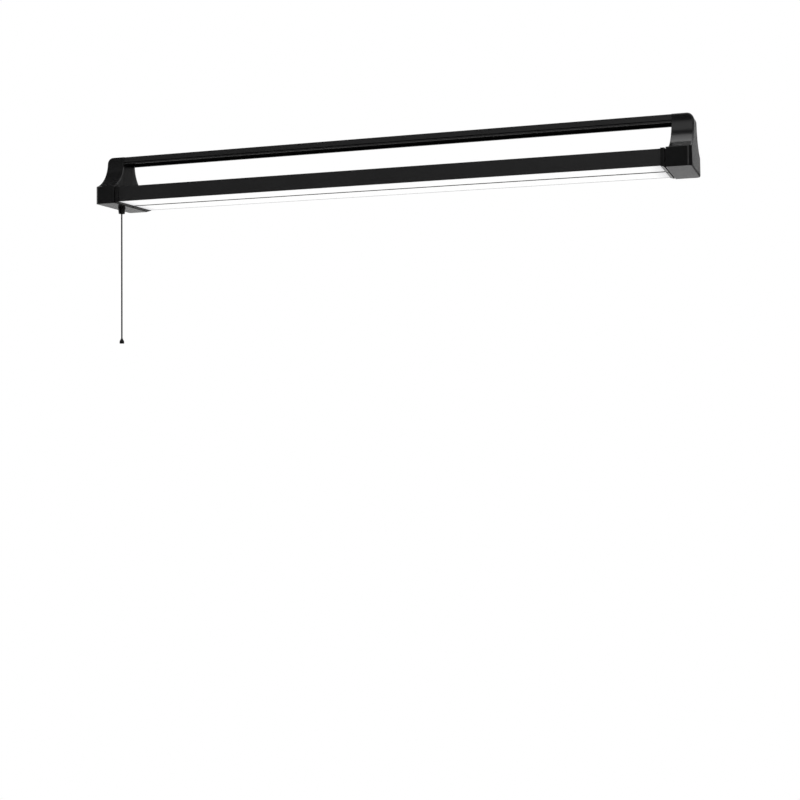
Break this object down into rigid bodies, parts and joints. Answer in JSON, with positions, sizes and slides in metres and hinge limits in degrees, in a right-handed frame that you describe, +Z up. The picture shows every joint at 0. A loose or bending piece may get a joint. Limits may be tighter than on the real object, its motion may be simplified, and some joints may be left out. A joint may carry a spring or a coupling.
{
  "type": "linear office ceiling light with pull switch",
  "caption": "Slim black linear ceiling light: extruded housing with opal light strips, end caps with flared pillars, an upper hanging rail and a pull cord switch.",
  "frame": {"origin": "midway between the two hanger inserts, on the plane of their flanges at the top of the rail", "axes": "+X along the light, away from the pull switch; +Z up, out of the hanger inserts; -Y towards the front"},
  "size_m": [1.1998, 0.13, 0.3845],
  "materials": {
    "coated_aluminium": "satin black powder coat",
    "cap_plastic": "fine satin moulded black",
    "trim_plastic": "satin moulded black",
    "opal": "opal, lit from behind",
    "board_white": "white solder mask",
    "chip_phosphor": "clear over yellow",
    "zinc_steel": "zinc plated",
    "black_screw": "black oxide",
    "circuit_green": "green solder mask",
    "component_dark": "moulded",
    "nylon": "natural nylon",
    "contact_brass": "plain",
    "grommet_rubber": "matt",
    "cord_braid": "fine braid",
    "lead_brown": "wire insulation",
    "lead_blue": "wire insulation",
    "lead_white": "wire insulation"
  },
  "bodies": {
    "fixture": {"housing_profile": "coated_aluminium", "rail": "coated_aluminium", "end_cap_left": "cap_plastic", "end_cap_right": "cap_plastic", "pillar_cover_left": "cap_plastic", "pillar_cover_right": "cap_plastic", "end_frame_left": "cap_plastic", "end_frame_right": "cap_plastic", "pull_bush": "trim_plastic", "diffuser_front": "opal", "diffuser_rear": "opal", "led_board_front": "board_white", "led_board_rear": "board_white", "led_chips_front": "chip_phosphor", "led_chips_rear": "chip_phosphor", "board_screws": "zinc_steel", "driver_tray": "zinc_steel", "driver_lid": "zinc_steel", "driver_screws": "zinc_steel", "hanger_inserts": "zinc_steel", "frame_screws": "zinc_steel", "return_spring": "zinc_steel", "wheel_pin": "zinc_steel", "terminal_screws": "zinc_steel", "cover_screws": "black_screw", "cap_screws": "black_screw", "rail_screws": "black_screw", "driver_board": "circuit_green", "driver_parts": "component_dark", "terminal_block": "nylon", "switch_case": "nylon", "switch_lid": "nylon", "contact_strips": "contact_brass", "cable_grommet": "grommet_rubber", "live_lead": "lead_brown", "switched_lead": "lead_brown", "neutral_lead": "lead_blue", "led_leads": "lead_white"},
    "puller": {"pull_slider": "nylon", "cord_lead": "cord_braid"},
    "hanging_cord": {"pull_cord": "cord_braid", "pull_knob": "trim_plastic", "cord_knot": "cord_braid"},
    "switch_wheel": {"index_wheel": "nylon"}
  },
  "joints": [
    {"name": "pull_slide", "type": "slide", "parent": "fixture", "child": "puller", "axis": [0, 0, -1], "range_m": [0, 0.008], "stiffness_N_per_m": 600, "springref_m": -0.003, "deforming": ["return_spring"]},
    {"name": "cord_swing", "type": "hinge", "parent": "puller", "child": "hanging_cord", "pos_m": [-0.577, 0, -0.112], "axis": [1, 0, 0], "range_deg": [-30, 30]},
    {"name": "wheel_index", "type": "hinge", "parent": "fixture", "child": "switch_wheel", "pos_m": [-0.569, 0, -0.0855], "axis": [0, 1, 0], "range_deg": [0, 45]}
  ],
  "couplings": [
    {"joint": "wheel_index", "follows": "pull_slide", "rad_per_m": 98.17}
  ]
}
